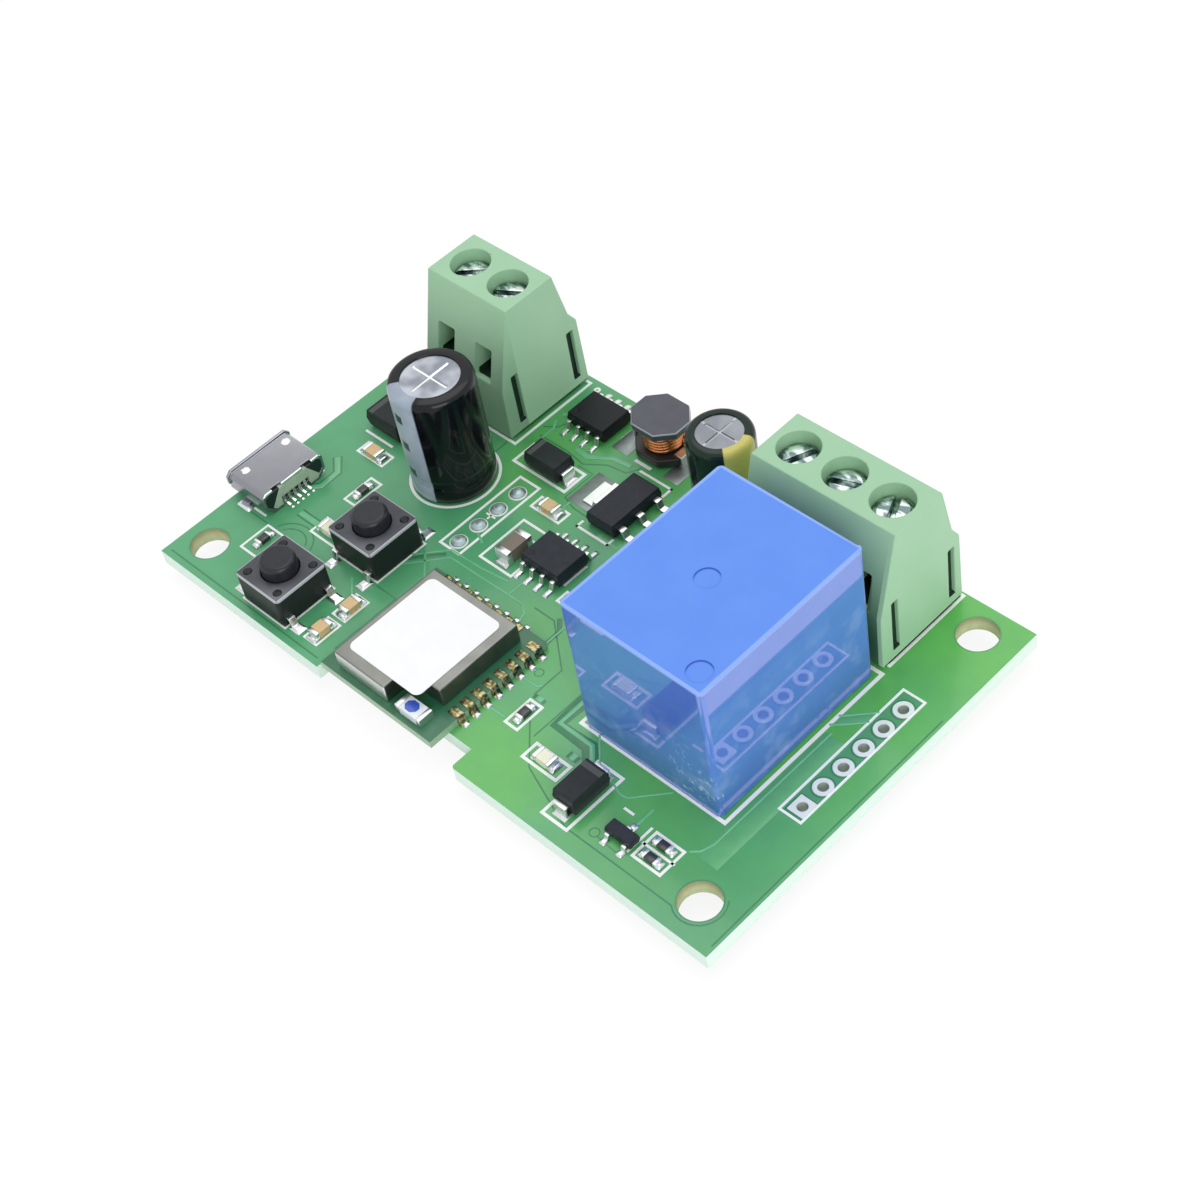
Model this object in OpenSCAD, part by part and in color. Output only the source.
// Single-channel smart relay module: a circuit board with a power supply, a shielded radio
// module, two push buttons, a cube relay and two blocks of screw terminals.
// X runs along the board, Y towards the terminals, Z up. The origin is the centre of the four
// mounting holes on the underside of the board. Millimetres.

/* [Circuit board] */
// Length of the board
board_l = 70; // [68:0.5:80]
// Width of the board
board_w = 41.3; // [41:0.1:46]
// Thickness of the board
board_t = 1.6; // [1:0.1:2.4]
// Diameter of the four mounting holes
mount_hole_d = 3.8; // [2.5:0.1:4.2]
// From the left and front edges to the first mounting hole
hole_inset = [3.1, 3.5]; // [2.6:0.1:4]
// From the right and far edges to the last mounting hole
hole_far_inset = [3.9, 3]; // [2.6:0.1:4]
// Left end of the cut-out under the antenna
notch_x = 22.9; // [22:0.1:24]
// Length of the cut-out under the antenna
notch_l = 17.7; // [14:0.1:18.5]
// Depth of the cut-out under the antenna
notch_depth = 2.4; // [1:0.1:3]
// Corner radius where the cut-out meets the front edge
notch_r = 0.4; // [0.2:0.1:1.5]
// How far the soldered pins stand out below the board
pin_tail = 1.5; // [1:0.1:3]

/* [Pin headers] */
// Pitch of the header holes
header_pitch = 2.54; // [2:0.01:2.6]
// Number of open header holes
header_count = 6; // [2:1:6]
// From the right edge of the board to the header row
header_inset = 3.6; // [2.2:0.1:4]
// First open header hole, from the front edge
header_y = 15.4; // [12:0.1:16]
// Bore of a header hole
header_bore_d = 1; // [0.8:0.05:1.1]
// Diameter of a header pad
header_pad_d = 1.8; // [1.6:0.1:2]
// Thickness of the tinned lining of a header hole
lining_t = 0.17; // [0.16:0.01:0.2]
// First of the solder-filled programming pads
programming_pos = [22.1, 18.2]; // [16:0.1:24]
// Number of programming pads
programming_count = 4; // [2:1:4]

/* [USB socket] */
// Width of the steel shell
usb_w = 7.4; // [7.2:0.1:8]
// Height of the steel shell
usb_h = 2.7; // [2.5:0.1:3.2]
// Length of the steel shell
usb_l = 5.4; // [5:0.1:5.8]
// Thickness of the steel shell
usb_wall = 0.3; // [0.2:0.05:0.4]
// How far the mouth stands past the left edge of the board
usb_overhang = 0.25; // [0:0.05:0.6]
// Middle of the socket, from the front edge of the board
usb_y = 12.85; // [12:0.05:14]

/* [Push buttons] */
// Side of the square switch
button_side = 6; // [5.8:0.1:6.2]
// Height of the switch base
button_base_h = 3.1; // [2.8:0.1:4]
// Thickness of the cover plate
button_cover_t = 0.35; // [0.2:0.05:0.6]
// Diameter of the plunger
plunger_d = 3.5; // [3:0.1:3.8]
// How far the plunger stands above the cover plate
plunger_rise = 1.45; // [0.8:0.05:3]
// Travel of the plunger
button_travel = 0.25; // [0.1:0.05:0.3]
// Middle of the first button
button_1_pos = [14.1, 4.15]; // [3:0.05:16]
// Middle of the second button
button_2_pos = [16.7, 13.1]; // [12:0.05:18]

/* [Capacitors] */
// Diameter of the input capacitor
input_cap_d = 8.2; // [7.5:0.1:8.6]
// Height of the input capacitor
input_cap_h = 12.7; // [9:0.1:16]
// Middle of the input capacitor
input_cap_pos = [15.4, 24]; // [14:0.1:26]
// Lead pitch of the input capacitor
input_lead_pitch = 3.5; // [2.5:0.1:3.8]
// Diameter of the output capacitor
output_cap_d = 6.3; // [5.5:0.1:7]
// Height of the output capacitor
output_cap_h = 11.4; // [9:0.1:14]
// Middle of the output capacitor
output_cap_pos = [40.4, 35.4]; // [34:0.1:42]
// Lead pitch of the output capacitor
output_lead_pitch = 2.5; // [2:0.1:2.8]
// Thickness of the printed sleeve
sleeve_t = 0.12; // [0.08:0.01:0.2]
// Diameter of a capacitor lead
cap_lead_d = 0.6; // [0.5:0.05:0.8]

/* [Inductor] */
// Length of the ferrite core
inductor_l = 5.8; // [5.6:0.1:6.4]
// Width of the ferrite core
inductor_w = 5; // [4.6:0.1:5.2]
// Height of the inductor
inductor_h = 4.5; // [4.4:0.1:5.5]
// Thickness of each flange
flange_t = 0.85; // [0.6:0.05:0.9]
// Diameter of the drum inside the winding
drum_d = 3.2; // [2.4:0.1:3.2]
// Diameter of the copper wire
wire_d = 0.4; // [0.3:0.02:0.4]
// Middle of the inductor
inductor_pos = [29.2, 38.5]; // [28:0.1:39]

/* [Moulded chips] */
// Length of an eight-lead chip
chip_l = 4.9; // [4.5:0.1:5.1]
// Width of an eight-lead chip
chip_w = 3.9; // [3.5:0.1:4]
// Top of an eight-lead chip above the board
chip_h = 1.65; // [1.4:0.05:2]
// Lead pitch of an eight-lead chip
lead_pitch = 1.27; // [1:0.01:1.3]
// Middle of the buck converter chip
buck_chip_pos = [21.8, 37.2]; // [21:0.1:38]
// Middle of the logic chip
logic_chip_pos = [31.4, 21.7]; // [21:0.1:32]
// Middle of the voltage regulator
regulator_pos = [31.8, 30.3]; // [30:0.1:32]
// Width of the voltage regulator body
regulator_w = 3.5; // [3.2:0.1:3.7]
// Length of the voltage regulator body
regulator_l = 6.5; // [6:0.1:6.7]
// Middle of the transistor
transistor_pos = [57.1, 4]; // [3.5:0.1:58]

/* [Diodes] */
// Length of a small diode
diode_l = 4.3; // [4:0.1:4.6]
// Width of a small diode
diode_w = 2.6; // [2.3:0.1:2.8]
// Height of a diode
diode_h = 2.1; // [1.8:0.1:2.4]
// Length of the input diode
input_diode_l = 4.6; // [4.2:0.1:4.8]
// Width of the input diode
input_diode_w = 3.8; // [3.4:0.1:4.2]
// Middle of the input diode
input_diode_pos = [5.9, 25.2]; // [5:0.1:26]
// Middle of the buck diode
buck_diode_pos = [22.3, 30]; // [22:0.1:31]
// Middle of the relay diode
relay_diode_pos = [51.5, 5]; // [4.5:0.1:52]

/* [Wireless module] */
// Left front corner of the module board
module_pos = [23.4, 0.3]; // [0:0.1:24]
// Length of the module board
module_l = 14.4; // [13:0.1:16]
// Width of the module board
module_w = 14.05; // [13:0.05:15]
// Thickness of the module board
module_t = 0.8; // [0.6:0.1:1.2]
// Height of the shield above the module board
shield_h = 2.1; // [1.6:0.1:3]
// Thickness of the shield's sheet metal
shield_wall = 0.2; // [0.15:0.05:0.3]
// Number of pads along each soldered edge
pad_count = 8; // [6:1:8]
// Pitch of the edge pads
pad_pitch = 1.33; // [1.2:0.01:1.36]

/* [Relay] */
// Width of the relay
relay_w = 15.5; // [15:0.1:16.5]
// Length of the relay
relay_l = 19.2; // [18.8:0.1:20]
// Height of the relay
relay_h = 15.8; // [15:0.1:17]
// Left side of the relay, from the left edge of the board
relay_x = 46.5; // [45:0.1:47]
// Gap between the relay and the terminal block
relay_gap = 0.8; // [0.1:0.05:1]
// Side wall of the relay cover
cover_wall = 0.7; // [0.5:0.05:0.9]
// Top wall of the relay cover
cover_top = 0.9; // [0.6:0.05:1.1]
// Diameter of the relay's iron core
core_d = 4.4; // [3.6:0.1:5]
// Diameter of the relay's coil
coil_d = 8.6; // [7:0.1:8.8]
// Thickness of the relay's iron parts
iron_t = 1.2; // [1:0.05:1.3]
// Angle that the armature closes through
armature_angle = 3; // [2:0.1:3.4]

/* [Screw terminals] */
// Distance between poles
pole_pitch = 5.08; // [5:0.01:5.5]
// Poles of the input block
input_poles = 2; // [1:1:2]
// Poles of the load block
load_poles = 3; // [1:1:3]
// First screw of the input block, from the left edge
input_x = 8.8; // [8.7:0.1:11]
// First screw of the load block, from the left edge
load_x = 49.5; // [49:0.1:52]
// From the screws to the far edge of the board
terminal_setback = 5.5; // [5.3:0.1:6.5]
// Height of a terminal block
terminal_h = 14.6; // [14:0.1:17]
// Diameter of the well above a screw
well_d = 3.9; // [3.8:0.05:4.2]
// Diameter of a screw head
screw_head_d = 3.6; // [3.5:0.05:3.7]
// Diameter of a screw's thread
screw_d = 3; // [2.5:0.1:3]
// Height of a screw head
screw_head_h = 1.9; // [1.4:0.1:2.2]
// Depth of the screw head below the top of the block
screw_recess = 1.2; // [0.6:0.1:1.4]
// Rise of a clamp cage between open and closed
cage_travel = 2.8; // [2:0.1:2.8]
// Width of a wire entry
wire_entry_w = 3.5; // [3:0.1:3.8]
// Height of a wire entry
wire_entry_h = 3.2; // [2.8:0.1:3.3]

/* [Hidden] */
$fn = 48;
eps = 0.01;
pin_clearance = 0.15;
hole_span_x = board_l - hole_inset[0] - hole_far_inset[0];
hole_span_y = board_w - hole_inset[1] - hole_far_inset[1];
pattern_x = hole_inset[0] + hole_span_x / 2;
pattern_y = hole_inset[1] + hole_span_y / 2;
pin_low = -board_t - pin_tail;
sheet_t = 0.2;
contact_gap = 0.06;

// Loose parts keep their share of the board's length and width
layout_l = 70;
layout_w = 41.3;
share_x = board_l / layout_l;
share_y = board_w / layout_w;
function shared(pos) = [pos[0] * share_x, pos[1] * share_y];
input_left = input_x * share_x;
load_left = load_x * share_x;
relay_left = relay_x * share_x;
module_at = shared(module_pos);
first_header = [board_l - header_inset, header_y * share_y];
first_programming = shared(programming_pos);
usb_at = [-usb_overhang, usb_y * share_y];

// Terminal block outline, across the block from the screws' line
terminal_y = board_w - terminal_setback;
block_back = 5.45;
block_shoulder = [5.3, 6.2];
block_crown_back = 2.95;
block_crown_front = 3;
block_nose = [4.05, 9.3];
block_lip = [4.95, 7.9];
block_foot = 5.1;
block_side = pole_pitch / 2 + 0.2;
block_stand = 0.3;
groove_w = 0.8;
groove_depth = 0.5;
groove_ys = [-3.95, 3.4];
groove_z = [1.3, 7.1];

// Clamp cage, contact strip and chamber of one pole
cage_w = 4.2;
cage_depth = 3.2;
cage_floor_t = 0.7;
cage_roof_t = 1.3;
cage_low = 0.7;
cage_window_w = 3;
strip_t = 0.6;
strip_w = 2.6;
strip_front = 2.2;
strip_back = 2.3;
strip_z = cage_low + cage_floor_t + wire_entry_h;
cage_window_h = wire_entry_h + strip_t + 0.1;
cage_h = cage_floor_t + cage_window_h + cage_roof_t;
chamber_w = cage_w + 0.3;
chamber_back = strip_back + 0.05;
chamber_front = strip_front + 0.1;
chamber_top = cage_low + cage_h + cage_travel + 0.2;
screw_top = terminal_h - screw_recess;
screw_seat_z = screw_top - screw_head_h;
screw_end_z = strip_z + strip_t + 0.3;
screw_slot = [0.6, 0.8];
thread_clearance = 0.05;
window_w = 2.1;
window_z = [6.4, 9.8];
block_pin_d = 0.9;
block_pin_y = -strip_back + strip_t / 2;

// Relay frame: corner, coil, hinge and contact places
relay_y = terminal_y - block_back - relay_gap - relay_l;
relay_mid = relay_w / 2;
layout_relay_y = 10.35;
// A place in the strip in front of the relay, which keeps its share of the strip's width
function fore(pos) = [pos[0] * share_x, pos[1] * relay_y / layout_relay_y];
relay_fit = 0.05;
relay_base_h = 1.5;
relay_pin_d = 0.8;
yoke_v = 1.6;
hinge_v = yoke_v + iron_t / 2;
hinge_gap = 0.1;
foot_z = relay_base_h;
bobbin_z = foot_z + iron_t;
bobbin_flange_t = 0.7;
spool_wall = 0.5;
winding_gap = 0.05;
coil_v = yoke_v + iron_t + 0.1 + 4.5;
bobbin_half = [5.5, 4.5];
hinge_z = relay_h - 4.9;
bobbin_top = hinge_z - 0.8;
com_v = hinge_v;
switch_setback = 2.1;
side_setback = 1.05;
coil_pin_v = com_v + 2;
switch_pin_v = relay_l - cover_wall - switch_setback;
side_pin_u = relay_mid - cover_wall - side_setback;
leaf_t = 0.2;
bump_t = 0.35;
bump_d = 2.6;
contact_setback = 0.4;
contact_v = switch_pin_v - contact_setback;
arm_t = 0.5;
arm_w = 1.6;
post_w = 0.8;
moving_low = hinge_z + iron_t - bump_t;
moving_high = hinge_z + iron_t + leaf_t + bump_t;
open_button_top = moving_low - contact_gap;
closed_button_low = hinge_z + (moving_high - hinge_z) * cos(armature_angle)
    + (contact_v - hinge_v + bump_d / 2) * sin(armature_angle) + contact_gap;

// Inductor winding
core_low = 0.25;
wind_low = core_low + flange_t;
wind_high = inductor_h - flange_t;
wire_seat = 0.02;
wind_margin = 0.02;
wind_r = drum_d / 2 + wire_seat + wire_d / 2;
wind_turns = 2.5;
wind_z0 = wind_low + wind_margin + wire_d / 2;
wind_z1 = wind_high - wind_margin - wire_d / 2;
clip_t = 0.2;
clip_tab_l = 0.75;
lead_r = wind_r + wire_d + 0.43;
ring_step = 15;
wire_sides = 6;

// Arch in the back of the USB insert where the contacts come down
usb_arch = [3.4, 0.9];
usb_contact_back = 0.5;

// Push button stack
button_floor = 1.2;
dome_h = 0.45;
dome_t = 0.1;
dome_d = 4.4;
button_corner = 0.45;
post_place = 0.355;
post_d = 0.8;
button_bore_d = 4.9;
plunger_flange_d = 4.5;
plunger_flange_t = 0.6;
plunger_foot_d = 2;
leg_w = 0.7;
leg_spacing = 4.5;
leg_reach = 1.3;

// Wireless module
shield_inset = [1.7, 0.65];
shield_l = 10.8;
shield_d = 12.15;
antenna_size = [3.2, 1.6, 0.9];
antenna_pos = module_at + [11.1, 1.35];
shield_notch = [antenna_size[0] + 1, antenna_size[1] + 1.2];
pad_w = 0.85;
pad_len = 1.2;
pad_t = 0.06;
pad_bore_r = 0.3;
fillet_len = 0.5;
module_right = module_at[0] + module_l;
module_back = module_at[1] + module_w;
back_pad_x = module_right - 3.2 - (pad_count - 1) * pad_pitch;
side_pad_y = module_at[1] + 3.65;

// Chip resistors, chip capacitors and lights: middle, turn in degrees, length, width, height
resistors = [
    [shared([9.9, 17]), 90, 1.6, 0.8, 0.45],
    [shared([7, 7]), 90, 1.6, 0.8, 0.45],
    [shared([41.5, 7.9]), 90, 1.6, 0.8, 0.45],
    [fore([60.4, 5.4]), 0, 1.6, 0.8, 0.45],
    [fore([60.4, 3.9]), 0, 1.6, 0.8, 0.45]
];
ceramics = [
    [shared([7.1, 21]), 0, 2, 1.25, 0.8],
    [shared([26.1, 26.2]), 0, 2, 1.25, 0.8],
    [shared([27.3, 20.5]), 90, 3.2, 1.6, 1.5],
    [shared([20.1, 3]), 90, 2, 1.25, 0.8],
    [shared([20.2, 6.5]), 90, 2, 1.25, 0.8]
];
lights = [
    [shared([11.4, 11.6]), 0, 2, 1.25, 0.8],
    [fore([46.6, 5.5]), 0, 2, 1.25, 0.8]
];
cap_share = 0.2;

// Soldered pins through the board: place and radius
block_pins = concat(
    [for (i = [0 : input_poles - 1]) [input_left + i * pole_pitch, terminal_y + block_pin_y]],
    [for (i = [0 : load_poles - 1]) [load_left + i * pole_pitch, terminal_y + block_pin_y]]
);
relay_pins = [
    [relay_mid, com_v],
    [relay_mid - side_pin_u, coil_pin_v],
    [relay_mid + side_pin_u, coil_pin_v],
    [relay_mid - side_pin_u, switch_pin_v],
    [relay_mid + side_pin_u, switch_pin_v]
];
cap_leads = [
    for (s = [-1, 1]) shared(input_cap_pos) + [s * input_lead_pitch / 2, 0],
    for (s = [-1, 1]) shared(output_cap_pos) + [s * output_lead_pitch / 2, 0]
];
soldered = concat(
    [for (p = block_pins) [p, block_pin_d / 2]],
    [for (p = relay_pins) [[relay_left + p[0], relay_y + p[1]], relay_pin_d / 2]],
    [for (p = cap_leads) [p, cap_lead_d / 2]]
);

// Moves its children from the board's front left top corner into the model's frame
module place() {
    translate([-pattern_x, -pattern_y, board_t]) children();
}

module at(pos, turn = 0) {
    place() translate([pos[0], pos[1], 0]) rotate([0, 0, turn]) children();
}

// A block centred on its place in X and Y, standing on z
module block(size, z = 0) {
    translate([-size[0] / 2, -size[1] / 2, z]) cube(size);
}

// The same with rounded upright edges
module rounded_box(size, r, z = 0) {
    block([size[0] - 2 * r, size[1], size[2]], z);
    block([size[0], size[1] - 2 * r, size[2]], z);
    for (x = [-1, 1], y = [-1, 1]) translate([x * (size[0] / 2 - r), y * (size[1] / 2 - r), 0])
        rod(2 * r, z, z + size[2]);
}

// A hole or rod from z_low to z_high
module rod(d, z_low, z_high) {
    translate([0, 0, z_low]) cylinder(d = d, h = z_high - z_low);
}

// An outline drawn across (Y) and up (Z), pulled along X from the origin
module pull_x(length) {
    rotate([90, 0, 90]) linear_extrude(length) children();
}

// A moulded package: its four sides lean in above and below the parting line
module moulded(l, w, z_low, z_high, lean = 0.15) {
    mid = (z_low + z_high) / 2;
    intersection() {
        translate([-l / 2, 0, 0]) pull_x(l)
            polygon([[-w / 2 + lean, z_low], [w / 2 - lean, z_low], [w / 2, mid],
                [w / 2 - lean, z_high], [-w / 2 + lean, z_high], [-w / 2, mid]]);
        rotate([0, 0, 90]) translate([-w / 2, 0, 0]) pull_x(w)
            polygon([[-l / 2 + lean, z_low], [l / 2 - lean, z_low], [l / 2, mid],
                [l / 2 - lean, z_high], [-l / 2 + lean, z_high], [-l / 2, mid]]);
    }
}

// A gull-wing lead that leaves a body at y = 0, height h, and ends flat on the board
module gull_lead(width, h, reach, t = 0.2) {
    bend = reach * 0.35;
    translate([-width / 2, 0, 0]) pull_x(width)
        polygon([[0, h], [0, h + t], [bend, h + t], [bend + t, t], [reach, t], [reach, 0],
            [bend, 0], [bend - t, h]]);
}

// A strap lead that leaves the end of a diode and folds under it; the body ends at y = 0
module strap_lead(width, h, t = 0.2) {
    out = 0.3;
    under = 0.9;
    translate([-width / 2, 0, 0]) pull_x(width)
        polygon([[0, h], [0, h - t], [out, h - t], [out, t], [-under, t], [-under, 0],
            [out + t, 0], [out + t, h]]);
}

module circuit_board() {
    color("mediumseagreen") place() difference() {
        translate([0, 0, -board_t]) linear_extrude(board_t) difference() {
            square([board_l, board_w]);
            translate([notch_x * share_x, -1]) square([notch_l, notch_depth + 1]);
            translate([notch_x * share_x + notch_l - eps, -eps]) difference() {
                square(notch_r);
                translate([notch_r, notch_r]) circle(notch_r);
            }
        }
        for (i = [0, 1], j = [0, 1])
            translate([hole_inset[0] + i * hole_span_x, hole_inset[1] + j * hole_span_y, 0])
                rod(mount_hole_d, -board_t - 1, 1);
        for (i = [0 : header_count - 1])
            translate(first_header + [0, i * header_pitch])
                rod(header_bore_d + 2 * lining_t + 2 * eps, -board_t - 1, 1);
        for (p = soldered)
            translate(p[0]) rod(2 * (p[1] + pin_clearance), -board_t - 1, 1);
    }
}

// Six plated header holes, the first with a square pad, and the domed programming pads
module header_pads() {
    bore_out = header_bore_d + 2 * lining_t;
    color("gainsboro") place() {
        for (i = [0 : header_count - 1])
            translate(first_header + [0, i * header_pitch]) difference() {
                union() {
                    rod(bore_out, -board_t - pad_t, pad_t);
                    if (i == 0) block([header_pad_d, header_pad_d, pad_t]);
                    else rod(header_pad_d, 0, pad_t);
                    rod(header_pad_d, -board_t - pad_t, -board_t);
                }
                rod(header_bore_d, -board_t - 1, 1);
            }
        for (i = [0 : programming_count - 1])
            translate(first_programming + [0, i * header_pitch]) {
                rod(header_pad_d, 0, pad_t);
                translate([0, 0, pad_t]) cylinder(d1 = header_pad_d - 0.1, d2 = 0.7, h = 0.35);
            }
    }
}

// Cones of solder round every pin under the board
module solder_joints() {
    skirt = 0.7;
    color("silver") place() for (p = soldered)
        translate([p[0][0], p[0][1], -board_t]) difference() {
            translate([0, 0, -pin_tail * 0.6])
                cylinder(r1 = p[1] + 0.15, r2 = p[1] + skirt, h = pin_tail * 0.6);
            rod(2 * (p[1] + eps), -pin_tail, 1);
        }
}

// Micro socket: the outline is wide above and narrow below
module usb_outline(inset) {
    half = usb_w / 2 - inset;
    low = inset;
    high = usb_h - inset;
    corner = 0.4;
    foot = 0.85;
    polygon([[-half + foot, low], [half - foot, low], [half, low + foot], [half, high - corner],
        [half - corner, high], [-half + corner, high], [-half, high - corner],
        [-half, low + foot]]);
}

module usb_shell() {
    lip = 0.2;
    lip_l = 0.35;
    foot_x = 2.05;
    foot_l = 1.1;
    foot_w = 0.7;
    foot_t = 0.25;
    step_l = 0.35;
    step_w = 1.1;
    color("silver") at(usb_at) difference() {
        union() {
            pull_x(usb_l) usb_outline(0);
            pull_x(lip_l) translate([0, lip])
                polygon([[-usb_w / 2 - lip, usb_h / 2], [usb_w / 2 + lip, usb_h / 2],
                    [usb_w / 2 + lip, usb_h - 0.5], [usb_w / 2 - 0.3, usb_h],
                    [-usb_w / 2 + 0.3, usb_h], [-usb_w / 2 - lip, usb_h - 0.5]]);
            for (s = [-1, 1]) translate([foot_x, s * (usb_w / 2 - foot_w / 2), 0])
                block([foot_l, foot_w * 1.6, foot_t]);
        }
        translate([-1, 0, 0]) pull_x(usb_l + 2) usb_outline(usb_wall);
        translate([usb_l - usb_contact_back, -usb_arch[0] / 2, -1])
            cube([usb_contact_back + 1, usb_arch[0], usb_wall + 1.1]);
        for (s = [-1, 1])
            translate([usb_l - step_l, s * usb_w / 4 - step_w / 2, usb_h - 2 * usb_wall])
                cube([step_l + 1, step_w, 3 * usb_wall]);
    }
}

// Pale plastic insert: a block across the back and a thin tongue towards the mouth
module usb_tongue() {
    back_l = 1.2;
    tongue_w = 3.9;
    tongue_t = 0.45;
    color("honeydew") at(usb_at) difference() {
        union() {
            translate([usb_l - back_l, 0, 0]) pull_x(back_l) usb_outline(usb_wall + eps);
            translate([0.9, -tongue_w / 2, usb_h / 2]) cube([usb_l - back_l - 0.8, tongue_w, tongue_t]);
        }
        translate([usb_l - usb_contact_back, -usb_arch[0] / 2, 0])
            cube([usb_contact_back + 1, usb_arch[0], usb_wall + usb_arch[1]]);
    }
}

module usb_contacts() {
    pitch = 0.65;
    wide = 0.3;
    tail = 0.45;
    thick = 0.15;
    color("gold") at(usb_at) for (i = [-2 : 2])
        translate([usb_l - usb_contact_back, i * pitch - wide / 2, 0]) {
            cube([usb_contact_back + tail, wide, thick]);
            cube([thick, wide, usb_wall + usb_arch[1]]);
        }
}

module at_posts() {
    for (x = [-1, 1], y = [-1, 1])
        translate([x * button_side * post_place, y * button_side * post_place, 0]) children();
}

// Switch base with a round well, and four posts that the cover plate is staked on
module button_base(pos, turn) {
    color("dimgray") at(shared(pos), turn) difference() {
        union() {
            rounded_box([button_side, button_side, button_base_h - 0.1], button_corner, 0.1);
            at_posts() rod(post_d, button_base_h - eps, button_base_h + button_cover_t + 0.05);
        }
        rod(button_bore_d, button_floor, button_base_h + eps);
    }
}

module button_cover(pos, turn) {
    color("slategray") at(shared(pos), turn) difference() {
        rounded_box([button_side, button_side, button_cover_t], button_corner, button_base_h);
        rod(plunger_d + 0.2, button_base_h - 1, button_base_h + 1);
        at_posts() rod(post_d + 2 * eps, button_base_h - 1, button_base_h + 1);
    }
}

module button_plunger(pos) {
    flange_high = button_base_h - 0.05;
    flange_low = flange_high - plunger_flange_t;
    crown = 0.25;
    top = button_base_h + button_cover_t + plunger_rise;
    color("darkslategray") at(shared(pos)) {
        rod(plunger_d, flange_high - eps, top - crown);
        translate([0, 0, top - crown])
            cylinder(d1 = plunger_d, d2 = plunger_d - 2 * crown, h = crown);
        rod(plunger_flange_d, flange_low, flange_high);
        rod(plunger_foot_d, button_floor + dome_h + 0.1, flange_low + eps);
    }
}

// Snap dome under a plunger
module button_dome(pos) {
    color("silver") at(shared(pos)) translate([0, 0, button_floor]) rotate_extrude()
        polygon([[dome_d / 2, 0], [dome_d / 2, dome_t], [dome_d * 0.28, dome_h * 0.8 + dome_t / 2],
            [0, dome_h + dome_t / 2], [0, dome_h - dome_t / 2], [dome_d * 0.28, dome_h * 0.8 - dome_t],
            [dome_d / 2 - dome_t, 0]]);
}

module button_legs() {
    color("gainsboro") for (b = [[button_1_pos, 90], [button_2_pos, 0]], s = [0, 180], x = [-1, 1])
        at(shared(b[0]), b[1] + s) translate([x * leg_spacing / 2, button_side / 2, 0])
            gull_lead(leg_w, 0.9, leg_reach);
}

// Aluminium can, closed above with a scored vent and open below for the bung
module capacitor_can(pos, d, h) {
    r = d / 2 - sleeve_t - eps;
    wall = 0.35;
    score = [0.2, 0.12];
    bung_top = 2;
    groove_z = 2.4;
    shoulder = 0.45;
    top = h - sleeve_t - eps;
    color("lightgray") at(shared(pos)) difference() {
        union() {
            rod(2 * r, 0.4, top - shoulder);
            translate([0, 0, top - shoulder]) cylinder(r1 = r, r2 = r - shoulder, h = shoulder);
        }
        rod(2 * (r - wall), 0, bung_top);
        for (turn = [0, 90]) rotate([0, 0, turn])
            block([d * 0.55, score[0], 1], top - score[1]);
        translate([0, 0, groove_z]) rotate_extrude() translate([r + 0.15, 0]) circle(0.35, $fn = 24);
    }
}

module capacitor_sleeve(pos, d, h, tint) {
    lip = d * 0.15;
    r = d / 2;
    shoulder = 0.45;
    color(tint) at(shared(pos)) rotate_extrude()
        polygon([[r, 0.2], [r, h - shoulder], [r - 0.12, h - 0.2], [r - shoulder, h],
            [r - lip, h], [r - lip, h - sleeve_t], [r - shoulder, h - sleeve_t],
            [r - sleeve_t - 0.12, h - 0.2 - sleeve_t / 2], [r - sleeve_t, h - shoulder],
            [r - sleeve_t, 0.2]]);
}

module capacitor_bungs() {
    color("black") for (c = [[input_cap_pos, input_cap_d, input_lead_pitch],
        [output_cap_pos, output_cap_d, output_lead_pitch]]) at(shared(c[0])) difference() {
            rod(c[1] - 2 * sleeve_t - 0.74, 0, 1.98);
            for (s = [-1, 1]) translate([s * c[2] / 2, 0, 0]) rod(cap_lead_d + 2 * eps, -1, 3);
        }
}

module capacitor_leads() {
    color("silver") place() for (p = cap_leads) translate(p) rod(cap_lead_d, pin_low, 1.95);
}

// Eight-sided ferrite flange
module flange(t, z) {
    x = inductor_l / 2;
    y = inductor_w / 2;
    cut = 1.5;
    translate([0, 0, z]) linear_extrude(t)
        polygon([[-x, -y + cut], [-x + cut, -y], [x - cut, -y], [x, -y + cut],
            [x, y - cut], [x - cut, y], [-x + cut, y], [-x, y - cut]]);
}

module inductor_core() {
    color("dimgray") at(shared(inductor_pos)) {
        flange(flange_t, core_low);
        rod(drum_d, core_low, inductor_h - eps);
        flange(flange_t, wind_high);
    }
}

// Route of the copper wire: in from the left clip, round the drum, out and down to the right clip
function wire_turn(a) = let (
        total = wind_turns * 360,
        back = max(0, (a - total + 70) / 70),
        front = max(0, (50 - a) / 50),
        r = wind_r + (lead_r - wind_r) * back * back + 0.35 * front * front,
        z = wind_z0 + (wind_z1 - wind_z0) * min(1, a / (total - 70))
    ) [r * cos(180 + a), r * sin(180 + a), z];
wire_bend = 0.45;
wire_route = concat(
    [for (x = [inductor_l / 2, inductor_l / 2 - wire_d]) [-x, 0, wind_z0]],
    [for (a = [30, 60]) [-inductor_l / 2 + wire_d + wire_bend * sin(a), -wire_bend + wire_bend * cos(a),
        wind_z0]],
    [for (a = [20 : ring_step : wind_turns * 360 - ring_step / 2]) wire_turn(a)],
    [for (a = [0 : 30 : 90]) [lead_r, wire_bend * sin(a), wind_z1 - wire_bend + wire_bend * cos(a)]],
    [for (z = [wind_low + clip_t + wire_d, wind_low + clip_t]) [lead_r, wire_bend, z]]
);

function unit(v) = v / norm(v);
function heading(path, i) = unit(path[min(i + 1, len(path) - 1)] - path[max(i - 1, 0)]);
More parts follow.
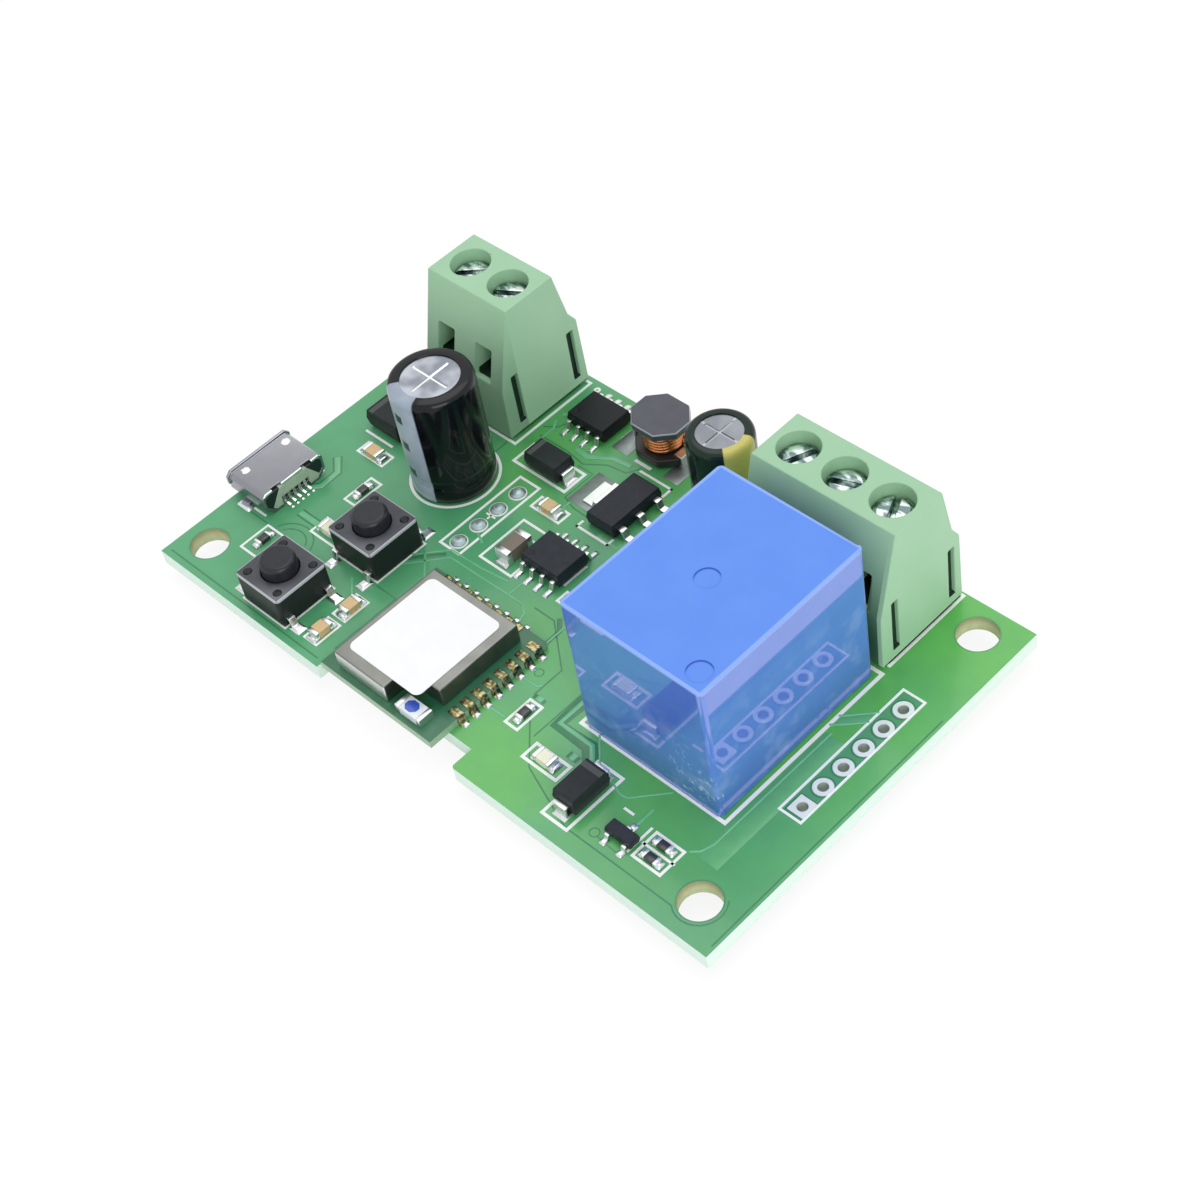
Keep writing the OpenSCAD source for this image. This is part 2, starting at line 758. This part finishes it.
// A side direction at each point, carried along the route without twisting
function carried(path, i, side) = let (
        h = heading(path, i),
        s = unit(side - h * (side * h))
    ) i == len(path) - 1 ? [s] : concat([s], carried(path, i + 1, s));

module tube(path, r, sides) {
    dirs = carried(path, 0, [0, 0.1, 1]);
    rings = [for (i = [0 : len(path) - 1]) let (h = heading(path, i), s = dirs[i], t = cross(h, s))
        for (k = [0 : sides - 1]) path[i] + r * (s * cos(360 * k / sides) + t * sin(360 * k / sides))];
    last = (len(path) - 1) * sides;
    polyhedron(rings, concat(
        [for (k = [1 : sides - 2]) [0, k, k + 1]],
        [for (i = [0 : len(path) - 2], k = [0 : sides - 1]) let (
                a = i * sides + k, b = i * sides + (k + 1) % sides)
            each [[a, b + sides, b], [a, a + sides, b + sides]]],
        [for (k = [1 : sides - 2]) [last, last + k + 1, last + k]]));
}

// Least clear distance between stretches of the wire more than a third of a turn apart
apart = 9;
wire_gap = min([for (i = [0 : len(wire_route) - 1], j = [i + apart : 1 : len(wire_route) - 1])
    norm(wire_route[i] - wire_route[j])]) - wire_d;

module inductor_winding() {
    echo(winding_least_gap_mm = wire_gap);
    color("peru") at(shared(inductor_pos)) tube(wire_route, wire_d / 2, wire_sides);
}

// Tinned clips that fold round the lower flange and hold the wire's ends
module inductor_clips() {
    width = inductor_w - 3.1;
    color("silver") at(shared(inductor_pos)) for (s = [-1, 1]) scale([s, 1, 1]) {
        half = inductor_l / 2;
        clip_h = s > 0 ? wind_z0 + 0.3 : wind_low + clip_t;
        translate([-half - clip_t, -width / 2, 0]) {
            cube([clip_t, width, clip_h]);
            cube([1.5, width, core_low]);
            if (s < 0) translate([0, 0, wind_low]) cube([clip_t + clip_tab_l, width, clip_t]);
        }
    }
}

// The buck converter chip and the logic chip, each with a dimple at its first lead
module eight_lead_chips() {
    color("darkslategray") for (pos = [buck_chip_pos, logic_chip_pos]) at(shared(pos)) difference() {
        moulded(chip_l, chip_w, 0.15, chip_h);
        translate([-chip_l / 2 + 0.8, -chip_w / 2 + 0.8, 0]) rod(0.5, chip_h - 0.1, chip_h + 1);
    }
}

module regulator_body() {
    color("darkslategray") at(shared(regulator_pos)) moulded(regulator_w, regulator_l, 0.1, 1.65);
}

module diode_bodies() {
    color("darkslategray") {
        at(shared(input_diode_pos)) moulded(input_diode_l, input_diode_w, 0.22, diode_h + 0.1);
        at(shared(buck_diode_pos)) moulded(diode_l, diode_w, 0.22, diode_h);
        at(fore(relay_diode_pos), 90) moulded(diode_l, diode_w, 0.22, diode_h);
    }
}

module transistor_body() {
    color("darkslategray") at(fore(transistor_pos)) moulded(2.9, 1.3, 0.1, 1.05, 0.1);
}

module component_leads() {
    chip_mid = (0.15 + chip_h) / 2 - 0.1;
    color("gainsboro") {
        for (pos = [buck_chip_pos, logic_chip_pos], s = [0, 180], i = [-1.5 : 1 : 1.5])
            at(shared(pos), s) translate([i * lead_pitch, chip_w / 2, 0]) gull_lead(0.42, chip_mid, 1.2);
        at(shared(regulator_pos), 90) translate([0, regulator_w / 2, 0]) gull_lead(3, 0.75, 2.3, 0.25);
        for (y = [-2.3, 0, 2.3])
            at(shared(regulator_pos), -90) translate([y, regulator_w / 2, 0]) gull_lead(0.7, 0.75, 1.75, 0.25);
        for (s = [90, -90]) {
            at(shared(input_diode_pos), s) translate([0, input_diode_l / 2, 0]) strap_lead(2.1, 1.3);
            at(shared(buck_diode_pos), s) translate([0, diode_l / 2, 0]) strap_lead(1.45, 1.3);
            at(fore(relay_diode_pos), s + 90) translate([0, diode_l / 2, 0]) strap_lead(1.45, 1.3);
        }
        for (x = [-0.95, 0.95])
            at(fore(transistor_pos), 180) translate([x, 0.65, 0]) gull_lead(0.45, 0.45, 0.8, 0.13);
        at(fore(transistor_pos)) translate([0, 0.65, 0]) gull_lead(0.45, 0.45, 0.8, 0.13);
    }
}

// The middle of chip parts, between their end caps
module chip_middles(parts) {
    for (p = parts) at(p[0], p[1]) block([p[2] * (1 - 2 * cap_share), p[3], p[4]]);
}

module chip_ends(parts) {
    for (p = parts, s = [-1, 1])
        at(p[0], p[1]) translate([s * p[2] * (1 - cap_share) / 2, 0, 0])
            block([p[2] * cap_share, p[3] + 0.04, p[4] + 0.03]);
}

module chip_resistors() {
    color("black") chip_middles(resistors);
}

module chip_capacitors() {
    color("tan") chip_middles(ceramics);
}

module chip_end_caps() {
    color("gainsboro") {
        chip_ends(resistors);
        chip_ends(ceramics);
        chip_ends(lights);
        at(antenna_pos) for (s = [-1, 1])
            translate([s * (antenna_size[0] / 2 - 0.25), 0, 0])
                block([0.5, antenna_size[1] + 0.04, antenna_size[2] + 0.03], module_t);
    }
}

// Clear lens over a white base
module status_lights() {
    color("white") for (p = lights) at(p[0], p[1]) {
        block([p[2] * (1 - 2 * cap_share), p[3], p[4] * 0.4]);
        block([p[2] * (1 - 2 * cap_share), p[3] - 0.1, p[4] * 0.6 + eps], p[4] * 0.4 - eps);
    }
}

// Middle of each half hole on the module's back and right edges, with its turn
module at_pads() {
    for (i = [0 : pad_count - 1]) {
        at([back_pad_x + i * pad_pitch, module_back]) children();
        at([module_right, side_pad_y + i * pad_pitch], -90) children();
    }
}

module wifi_board() {
    color("seagreen") difference() {
        at(module_at) cube([module_l, module_w, module_t]);
        at_pads() rod(2 * pad_bore_r, -1, module_t + 1);
    }
}

// Each pad lines its half hole and ends in a fillet of solder on the main board
module wifi_pads() {
    color("darkgoldenrod") at_pads() {
        translate([-pad_w / 2, -pad_len, module_t]) cube([pad_w, pad_len, pad_t]);
        intersection() {
            rod(2 * pad_bore_r, 0, module_t + pad_t);
            translate([-1, -1, 0]) cube([2, 1 + eps, module_t + pad_t]);
        }
        translate([-pad_w / 2, 0, 0]) pull_x(pad_w)
            polygon([[0, 0], [fillet_len, 0], [fillet_len * 0.6, 0.15], [0.12, module_t - 0.1],
                [0, module_t + pad_t]]);
    }
}

// Radio processor, memory and crystal inside the shield
module wifi_chips() {
    lean = 0.05;
    processor = [5, 5, 0.9];
    memory = [2, 3, 0.8];
    crystal = [3.2, 2.5, 0.7];
    middles = [[4, 7.5], [8.6, 8], [4, 2.4]];
    sizes = [processor, memory, crystal];
    color("black") at(module_at + shield_inset) for (i = [0 : len(sizes) - 1])
        translate(middles[i])
            moulded(sizes[i][0], sizes[i][1], module_t, module_t + sizes[i][2], lean);
}

module shield_outline(inset) {
    polygon([[inset, inset], [shield_l - shield_notch[0] - inset, inset],
        [shield_l - shield_notch[0] - inset, shield_notch[1] + inset],
        [shield_l - inset, shield_notch[1] + inset], [shield_l - inset, shield_d - inset],
        [inset, shield_d - inset]]);
}

module wifi_shield() {
    color("silver") at(module_at + shield_inset) translate([0, 0, module_t]) difference() {
        linear_extrude(shield_h) shield_outline(0);
        translate([0, 0, -1]) linear_extrude(shield_h - shield_wall + 1) shield_outline(shield_wall);
    }
}

module wifi_antenna() {
    color("aliceblue") at(antenna_pos)
        block([antenna_size[0] - 1, antenna_size[1], antenna_size[2]], module_t);
}

module in_relay() {
    at([relay_left, relay_y]) children();
}

module relay_base() {
    edge = cover_wall + relay_fit;
    color("midnightblue") in_relay() difference() {
        translate([edge, edge, 0]) cube([relay_w - 2 * edge, relay_l - 2 * edge, relay_base_h]);
        for (p = relay_pins) translate(p) rod(relay_pin_d + 0.1, -1, relay_base_h + 1);
    }
}

module relay_cover() {
    corner_r = 0.5;
    mark_d = 2.3;
    mark_depth = 0.08;
    middle_mark = [relay_w / 2, relay_l / 2 - 0.4];
    corner_mark = [relay_w - 1.7, 1.8];
    color("cornflowerblue") in_relay() difference() {
        translate([relay_w / 2, relay_l / 2, 0]) rounded_box([relay_w, relay_l, relay_h], corner_r);
        translate([cover_wall, cover_wall, -1])
            cube([relay_w - 2 * cover_wall, relay_l - 2 * cover_wall, relay_h - cover_top + 1]);
        for (p = [middle_mark, corner_mark])
            translate(p) rod(mark_d, relay_h - mark_depth, relay_h + 1);
    }
}

// Plastic spool for the coil, with an ear round each coil pin
module relay_bobbin() {
    ear = [1.9, 2];
    color("ivory") in_relay() difference() {
        translate([relay_mid, coil_v, 0]) {
            block([2 * bobbin_half[0], 2 * bobbin_half[1], bobbin_flange_t], bobbin_z);
            block([2 * bobbin_half[0], 2 * bobbin_half[1], bobbin_flange_t], bobbin_top - bobbin_flange_t);
            rod(core_d + 2 * spool_wall, bobbin_z, bobbin_top);
            for (s = [-1, 1]) translate([s * side_pin_u, coil_pin_v - coil_v, 0])
                block([ear[0], ear[1], bobbin_flange_t], bobbin_z);
        }
        translate([relay_mid, coil_v, 0]) rod(core_d + 0.1, bobbin_z - 1, bobbin_top + 1);
        for (s = [-1, 1]) translate([relay_mid + s * side_pin_u, coil_pin_v, 0])
            rod(relay_pin_d + 0.1, bobbin_z - 1, bobbin_z + 1);
    }
}

module relay_coil() {
    color("darkorange") in_relay() translate([relay_mid, coil_v, 0]) difference() {
        rod(coil_d, bobbin_z + bobbin_flange_t, bobbin_top - bobbin_flange_t);
        rod(core_d + 2 * (spool_wall + winding_gap), 0, relay_h);
    }
}

module relay_core() {
    face_t = 0.6;
    face_rim = 1;
    color("lightsteelblue") in_relay() translate([relay_mid, coil_v, 0]) {
        rod(core_d, bobbin_z, hinge_z - hinge_gap);
        rod(core_d + 2 * face_rim, hinge_z - hinge_gap - face_t, hinge_z - hinge_gap);
    }
}

// Iron frame: a foot under the coil and a back leg, with the common pin below
module relay_yoke() {
    width = 9;
    foot_l = 10;
    color("lightsteelblue") in_relay() translate([relay_mid, yoke_v, 0]) {
        translate([-width / 2, 0, foot_z]) cube([width, foot_l, iron_t]);
        translate([-width / 2, 0, foot_z]) cube([width, iron_t, hinge_z - hinge_gap - foot_z]);
        translate([0, com_v - yoke_v, 0]) rod(relay_pin_d, pin_low, foot_z + eps);
    }
}

// Turns its children about the hinge line, up to the released position
module released() {
    in_relay() translate([0, hinge_v, hinge_z]) rotate([armature_angle, 0, 0])
        translate([0, -hinge_v, -hinge_z]) children();
}

module relay_armature() {
    width = 8.6;
    tail = 0.7;
    past_core = 3;
    reach = coil_v + core_d / 2 + past_core;
    color("lightsteelblue") released() translate([relay_mid - width / 2, hinge_v - tail, hinge_z])
        cube([width, reach - hinge_v + tail, iron_t]);
}

// Copper leaf riveted on the armature, with the moving contact near its free end
module relay_contact_spring() {
    leaf_w = 5.4;
    leaf_l = 8.5;
    leaf_start = 1.5;
    leaf_end = 1.5;
    tongue_w = 3.6;
    rivet_d = 1.2;
    color("orange") released() translate([relay_mid, 0, hinge_z + iron_t]) {
        translate([-leaf_w / 2, hinge_v + leaf_start, 0]) cube([leaf_w, leaf_l, leaf_t]);
        translate([-tongue_w / 2, hinge_v + leaf_start, 0])
            cube([tongue_w, contact_v + leaf_end - hinge_v - leaf_start, leaf_t]);
        translate([0, contact_v, 0]) rod(bump_d, -bump_t, leaf_t + bump_t);
        for (v = [0.3, 0.7]) translate([0, hinge_v + leaf_start + v * leaf_l, 0])
            rod(rivet_d, leaf_t - eps, leaf_t + 0.25);
    }
}

// Coil pins, and the two fixed contacts with their posts and pins
module relay_terminals() {
    left = relay_mid - side_pin_u;
    right = relay_mid + side_pin_u;
    upper = closed_button_low + bump_t;
    lower = open_button_top - bump_t - arm_t;
    past_middle = 1.2;
    pin_top = 1.2;
    arm_l = side_pin_u + past_middle + post_w / 2;
    color("gold") in_relay() {
        for (x = [left, right]) translate([x, coil_pin_v, 0]) rod(relay_pin_d, pin_low, bobbin_z + pin_top);
        for (c = [[left, upper, 0], [right, lower, 1]]) translate([c[0], switch_pin_v, 0]) {
            rod(relay_pin_d, pin_low, relay_base_h + 0.5);
            block([post_w, post_w, c[1] + arm_t - relay_base_h], relay_base_h);
            rotate([0, 0, 180 * c[2]])
                translate([-post_w / 2, (2 * c[2] - 1) * contact_setback, c[1]])
                    translate([0, -arm_w / 2, 0]) cube([arm_l, arm_w, arm_t]);
        }
        translate([relay_mid, contact_v, 0]) {
            rod(bump_d, closed_button_low, upper + eps);
            rod(bump_d, lower + arm_t - eps, open_button_top);
        }
    }
}

module terminal_block(x, poles) {
    end = -block_side;
    width = (poles - 1) * pole_pitch + 2 * block_side;
    color("darkseagreen") at([x, terminal_y]) difference() {
        union() {
            translate([end, 0, 0]) pull_x(width)
                polygon([[-block_back, block_stand], [-block_shoulder[0], block_shoulder[1]],
                    [-block_crown_back, terminal_h], [block_crown_front, terminal_h],
                    block_nose, block_lip, [block_foot, block_stand]]);
            for (u = [end + 0.6, end + width - 0.6], y = [-block_back + 0.7, block_foot - 0.7])
                translate([u, y, 0]) block([1, 1, block_stand + eps]);
            for (y = groove_ys) translate([end - groove_depth + 0.1, y + 0.1, groove_z[0]])
                cube([groove_depth, groove_w - 0.2, groove_z[1] - groove_z[0] - 0.2]);
        }
        for (y = groove_ys) translate([end + width - groove_depth, y, groove_z[0]])
            cube([groove_depth + 1, groove_w, groove_z[1] - groove_z[0]]);
        for (i = [0 : poles - 1]) translate([i * pole_pitch, 0, 0]) {
            rod(well_d, screw_seat_z, terminal_h + 1);
            rod(screw_d + 0.4, chamber_top - 1, terminal_h);
            translate([-chamber_w / 2, -chamber_back, -1])
                cube([chamber_w, chamber_back + chamber_front, chamber_top + 1]);
            translate([-wire_entry_w / 2, 0, cage_low + cage_floor_t - 0.2])
                cube([wire_entry_w, block_foot + 1, wire_entry_h]);
            translate([-window_w / 2, -block_back - 1, window_z[0]])
                cube([window_w, block_back - chamber_back + 1.2, window_z[1] - window_z[0]]);
        }
    }
}

// One strip per pole: a leg on the board, a soldered pin, and a tongue through the cage
module terminal_contacts() {
    color("silver") for (p = block_pins) at([p[0], terminal_y]) {
        translate([-strip_w / 2, -strip_back, 0]) cube([strip_w, strip_t, strip_z + strip_t]);
        translate([-strip_w / 2, -strip_back, strip_z]) cube([strip_w, strip_back + strip_front, strip_t]);
        translate([0, block_pin_y, 0]) rod(block_pin_d, pin_low, 0.5);
    }
}

// Slotted screw: its head turns on the seat and its thread lifts the cage
module terminal_screw(x, pole, turn) {
    crown = 0.25;
    color("lightgray") at([x + (pole - 1) * pole_pitch, terminal_y], turn) difference() {
        union() {
            rod(screw_head_d, screw_seat_z, screw_top - crown);
            translate([0, 0, screw_top - crown])
                cylinder(d1 = screw_head_d, d2 = screw_head_d - 3 * crown, h = crown);
            rod(screw_d - 2 * thread_clearance, screw_end_z, screw_seat_z + eps);
        }
        translate([-screw_head_d, -screw_slot[0] / 2, screw_top - screw_slot[1]])
            cube([2 * screw_head_d, screw_slot[0], screw_slot[1] + 1]);
    }
}

// Rising cage: the wire goes in under the strip and the cage's floor lifts it
module terminal_cage(x, pole) {
    color("khaki") at([x + (pole - 1) * pole_pitch, terminal_y]) difference() {
        block([cage_w, cage_depth, cage_h], cage_low);
        block([cage_window_w, cage_depth + 2, cage_window_h], cage_low + cage_floor_t);
        rod(screw_d, cage_low + cage_floor_t + 1, cage_low + cage_h + 1);
    }
}

circuit_board();
header_pads();
solder_joints();
usb_shell();
usb_tongue();
usb_contacts();
button_base(button_1_pos, 90);  // button_1_base
button_cover(button_1_pos, 90);  // button_1_cover
button_plunger(button_1_pos);  // button_1_plunger
button_base(button_2_pos, 0);  // button_2_base
button_cover(button_2_pos, 0);  // button_2_cover
button_plunger(button_2_pos);  // button_2_plunger
button_dome(button_1_pos);  // button_1_dome
button_dome(button_2_pos);  // button_2_dome
button_legs();
capacitor_can(input_cap_pos, input_cap_d, input_cap_h);  // input_capacitor_can
capacitor_sleeve(input_cap_pos, input_cap_d, input_cap_h, "black");  // input_capacitor_sleeve
capacitor_can(output_cap_pos, output_cap_d, output_cap_h);  // output_capacitor_can
capacitor_sleeve(output_cap_pos, output_cap_d, output_cap_h, "darkslategray");  // output_capacitor_sleeve
capacitor_bungs();
capacitor_leads();
inductor_core();
inductor_winding();
inductor_clips();
eight_lead_chips();
regulator_body();
diode_bodies();
transistor_body();
component_leads();
chip_resistors();
chip_capacitors();
chip_end_caps();
status_lights();
wifi_board();
wifi_pads();
wifi_chips();
wifi_shield();
wifi_antenna();
relay_base();
relay_cover();
relay_bobbin();
relay_coil();
relay_core();
relay_yoke();
relay_armature();
relay_contact_spring();
relay_terminals();
terminal_block(input_left, input_poles);  // input_terminal_block
terminal_block(load_left, load_poles);  // load_terminal_block
terminal_contacts();
terminal_screw(input_left, 1, 40);  // input_screw_1
terminal_screw(input_left, 2, 30);  // input_screw_2
terminal_cage(input_left, 1);  // input_cage_1
terminal_cage(input_left, 2);  // input_cage_2
terminal_screw(load_left, 1, 66);  // load_screw_1
terminal_screw(load_left, 2, 20);  // load_screw_2
terminal_screw(load_left, 3, 114);  // load_screw_3
terminal_cage(load_left, 1);  // load_cage_1
terminal_cage(load_left, 2);  // load_cage_2
terminal_cage(load_left, 3);  // load_cage_3
